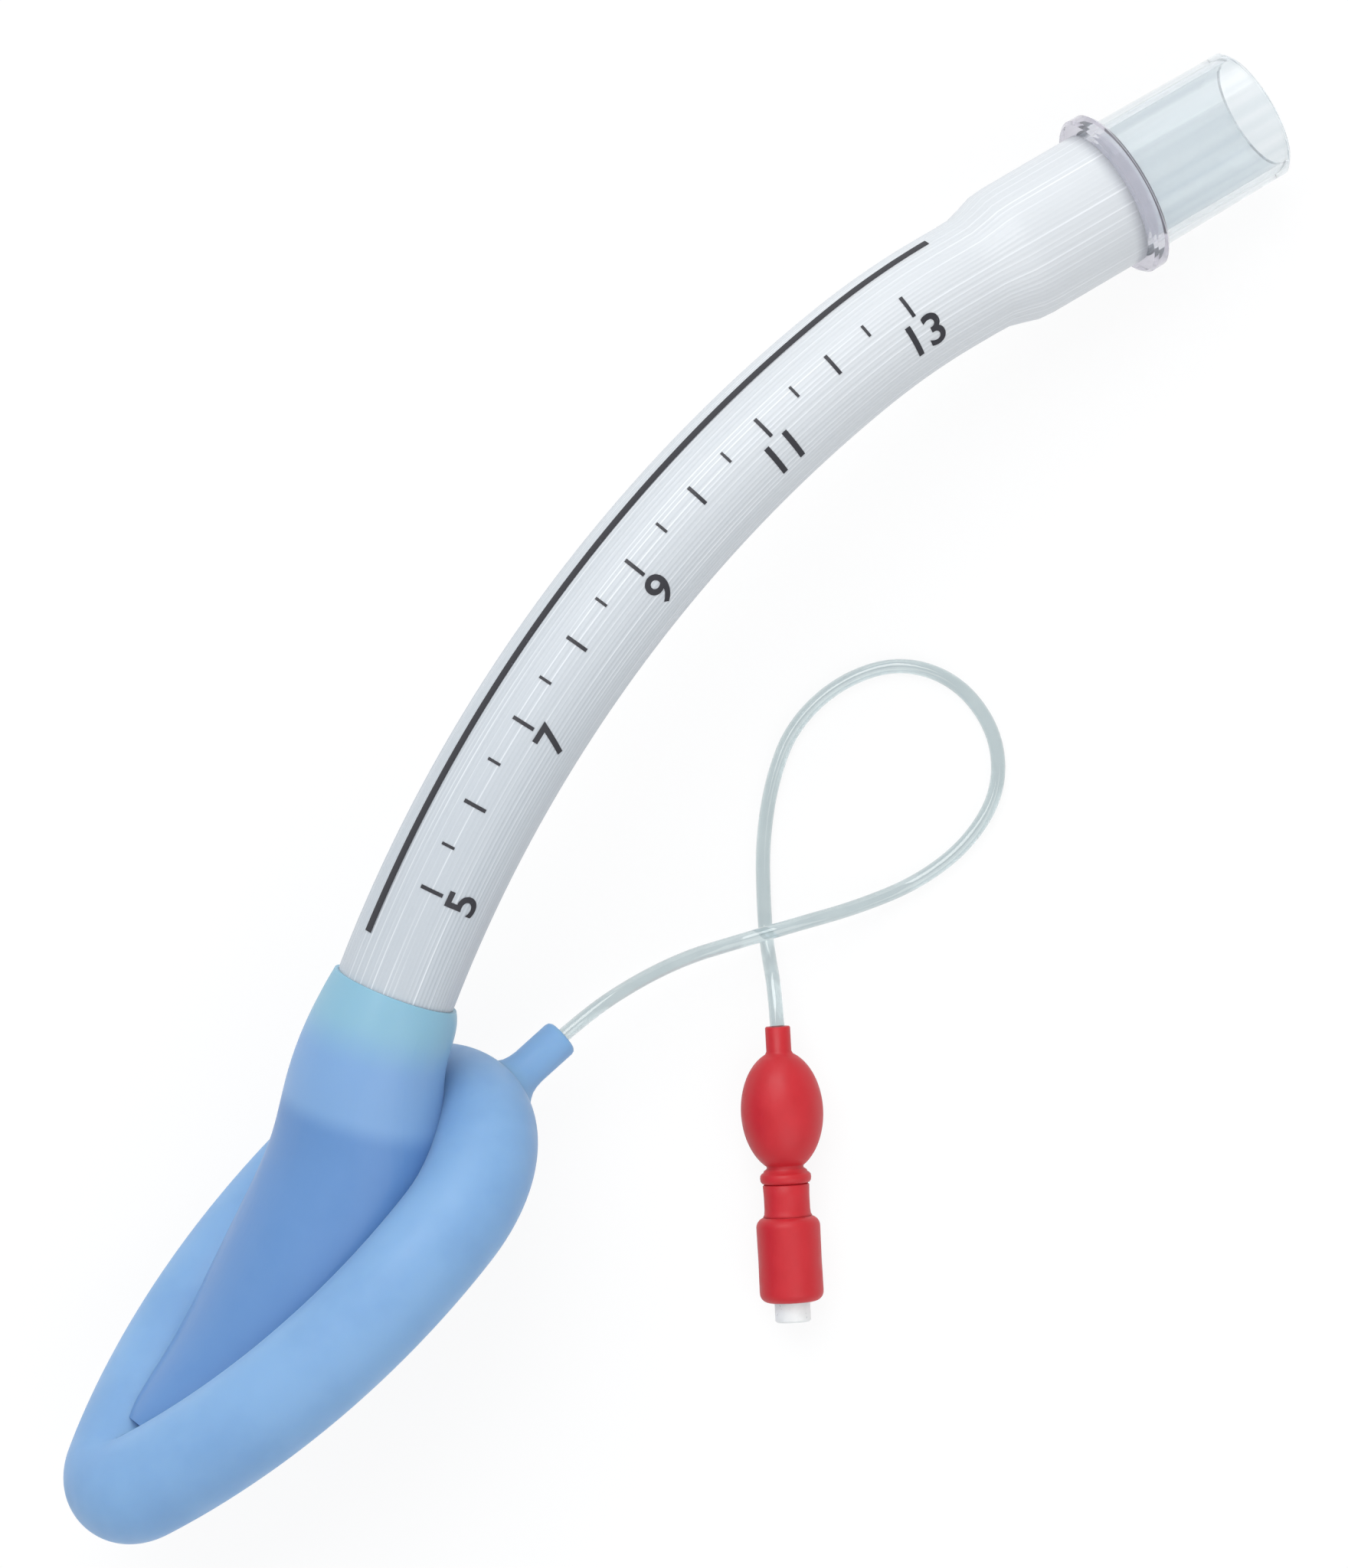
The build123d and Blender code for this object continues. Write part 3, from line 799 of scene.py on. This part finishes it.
def make_pocket():
    """Sleeve and round-shouldered cup that holds the valve."""
    quarter = [pi / 2 * k / ROUND_STEPS for k in range(1, ROUND_STEPS + 1)]
    x, r, bend = SHOULDER
    outline = SLEEVE_OUTLINE + [(x - bend * cos(a), r + bend * sin(a)) for a in quarter]
    x, r, bend = RIM
    outline += CUP_SIDE + [(x + bend * sin(a), r + bend * cos(a)) for a in quarter]
    outline += CUP_INSIDE
    return face_out(turned_object("red_pocket", outline, PILOT, PILOT_COLUMNS))


def make_spring():
    """The coil spring, with its solid's own mesh."""
    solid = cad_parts["valve_spring"]
    spring = bpy.data.objects.new("coil_spring", solid.data.copy())
    spring.matrix_world = solid.matrix_world
    bpy.context.collection.objects.link(spring)
    return spring


def make_line():
    """The inflation line, one smooth curve along its route."""
    curve = bpy.data.curves.new("clear_line", "CURVE")
    curve.dimensions = "3D"
    spline = curve.splines.new("NURBS")
    spline.points.add(len(LINE_ROUTE) - 1)
    for point, (x, y, z) in zip(spline.points, LINE_ROUTE):
        point.co = (x * MM, y * MM, z * MM, 1)
    spline.order_u = 3
    spline.use_endpoint_u = True
    spline.resolution_u = 24
    curve.bevel_depth = LINE_R * MM
    curve.bevel_resolution = 8
    curve.use_fill_caps = True
    line = bpy.data.objects.new("clear_line", curve)
    bpy.context.collection.objects.link(line)
    return line


# Stage

def make_floor():
    """A pale floor that shows white and keeps a soft shadow."""
    corners = [(x * FLOOR_HALF, y * FLOOR_HALF, 0) for x, y in ((-1, -1), (1, -1), (1, 1), (-1, 1))]
    floor_obj = add_object("floor", corners, [(0, 1, 2, 3)], smooth=False)
    floor_obj.location.z = -FLOOR_DROP
    material = bpy.data.materials.new("floor_white")
    material.use_nodes = True
    tree = material.node_tree
    tree.nodes.clear()
    matte = shader_node(tree, "ShaderNodeBsdfDiffuse", Color=(0.88, 0.89, 0.9, 1))
    glow = shader_node(tree, "ShaderNodeEmission", Color=(1, 1, 1, 1), Strength=1.0)
    path = shader_node(tree, "ShaderNodeLightPath")
    first = shader_node(tree, "ShaderNodeMath", {"operation": "MAXIMUM"},
                        i0=path.outputs["Is Camera Ray"], i1=path.outputs["Is Glossy Ray"])
    seen = shader_node(tree, "ShaderNodeMath", {"operation": "MAXIMUM"},
                       i0=first.outputs[0], i1=path.outputs["Is Transmission Ray"])
    share = shader_node(tree, "ShaderNodeMath", {"operation": "MULTIPLY"},
                        i0=seen.outputs[0], i1=FLOOR_GLOW)
    mixed = shader_node(tree, "ShaderNodeMixShader", i0=share.outputs[0], i1=matte.outputs[0],
                        i2=glow.outputs[0])
    shader_node(tree, "ShaderNodeOutputMaterial", Surface=mixed.outputs[0])
    floor_obj.data.materials.append(material)


def make_light(name, place, energy, size):
    """A soft square lamp that looks at the object."""
    lamp = bpy.data.lights.new(name, "AREA")
    lamp.energy = energy
    lamp.size = size
    obj = bpy.data.objects.new(name, lamp)
    obj.location = place
    obj.rotation_euler = (Vector(LAMP_AIM) - Vector(place)).to_track_quat("-Z", "Y").to_euler()
    bpy.context.collection.objects.link(obj)


def make_lights():
    """Key lamp from the tube's back, two weak ones, and a pale world seen white."""
    for lamp in LAMPS:
        make_light(*lamp)
    world = bpy.data.worlds.new("pale_world")
    bpy.context.scene.world = world
    world.use_nodes = True
    tree = world.node_tree
    path = shader_node(tree, "ShaderNodeLightPath")
    seen = shader_node(tree, "ShaderNodeMath", {"operation": "MAXIMUM"},
                       i0=path.outputs["Is Camera Ray"], i1=path.outputs["Is Transmission Ray"])
    back = tree.nodes["Background"]
    back.inputs["Color"].default_value = (0.98, 0.99, 1.0, 1)
    tree.links.new(spread(tree, seen.outputs[0], WORLD_LIGHT, 1.0), back.inputs["Strength"])


def make_camera():
    """The photograph's view: straight down and rolled, with a long lens."""
    camera = bpy.data.cameras.new("camera")
    camera.sensor_width = SENSOR
    camera.sensor_fit = "AUTO"
    camera.lens = SENSOR * VIEW_FAR / (VIEW_HIGH * MM)
    camera.clip_start = 0.05
    camera.clip_end = 20
    obj = bpy.data.objects.new("camera", camera)
    obj.location = (VIEW_AT[0] * MM, VIEW_AT[1] * MM, VIEW_FAR + VIEW_LEVEL)
    obj.rotation_euler = (0, 0, radians(VIEW_ROLL))
    bpy.context.collection.objects.link(obj)
    bpy.context.scene.camera = obj


def dress(piece, material, node=None):
    """Give a piece its material, let it ride, and hide the node it stands in for."""
    if piece.data.materials:
        piece.data.materials[0] = material
    else:
        piece.data.materials.append(material)
    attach(piece, "airway")
    if node:
        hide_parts(node)
    return piece


def keep_node(name, material):
    """Give a kept CAD node a better material."""
    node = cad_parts[name]
    if not node.material_slots:
        node.data.materials.append(material)
    for slot in node.material_slots:
        slot.material = material


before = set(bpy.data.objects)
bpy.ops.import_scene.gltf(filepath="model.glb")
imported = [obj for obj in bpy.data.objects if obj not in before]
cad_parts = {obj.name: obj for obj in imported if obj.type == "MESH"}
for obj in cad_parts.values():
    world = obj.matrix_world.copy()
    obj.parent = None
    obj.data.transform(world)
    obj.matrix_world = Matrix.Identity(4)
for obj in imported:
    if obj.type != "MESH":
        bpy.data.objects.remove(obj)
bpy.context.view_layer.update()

bpy.context.scene.view_settings.view_transform = "Standard"

make_camera()
make_lights()
make_floor()

ink = ink_material()
clear_line = dress(make_line(), line_material(), "inflation_line")
dress(make_tube(), tube_material(), "airway_tube")
dress(make_line_print(), ink)
dress(make_marks(), ink)
dress(make_numbers(), ink)
cuff = dress(make_cuff(), cuff_material(), "inflatable_cuff")
keep_node("mask_backplate", back_material())
red = red_material()
dress(make_balloon(), red, "pilot_balloon")
dress(make_pocket(), red, "valve_pocket")
keep_node("connector", connector_material())
natural = grained_material("natural_plastic", srgb(252, 254, 254), 0.24, transmission=0.25)
keep_node("valve_body", natural)
keep_node("spring_retainer", grained_material("retainer_plastic", srgb(226, 230, 228), 0.3))
keep_node("valve_plunger", grained_material("white_plastic", srgb(238, 240, 240), 0.3))
keep_node("valve_seal", grained_material("seal_rubber", srgb(52, 52, 54), 0.6))
steel = grained_material("spring_steel", srgb(190, 192, 198), 0.25, metallic=1.0)
spring = dress(make_spring(), steel, "valve_spring")

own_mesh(spring)
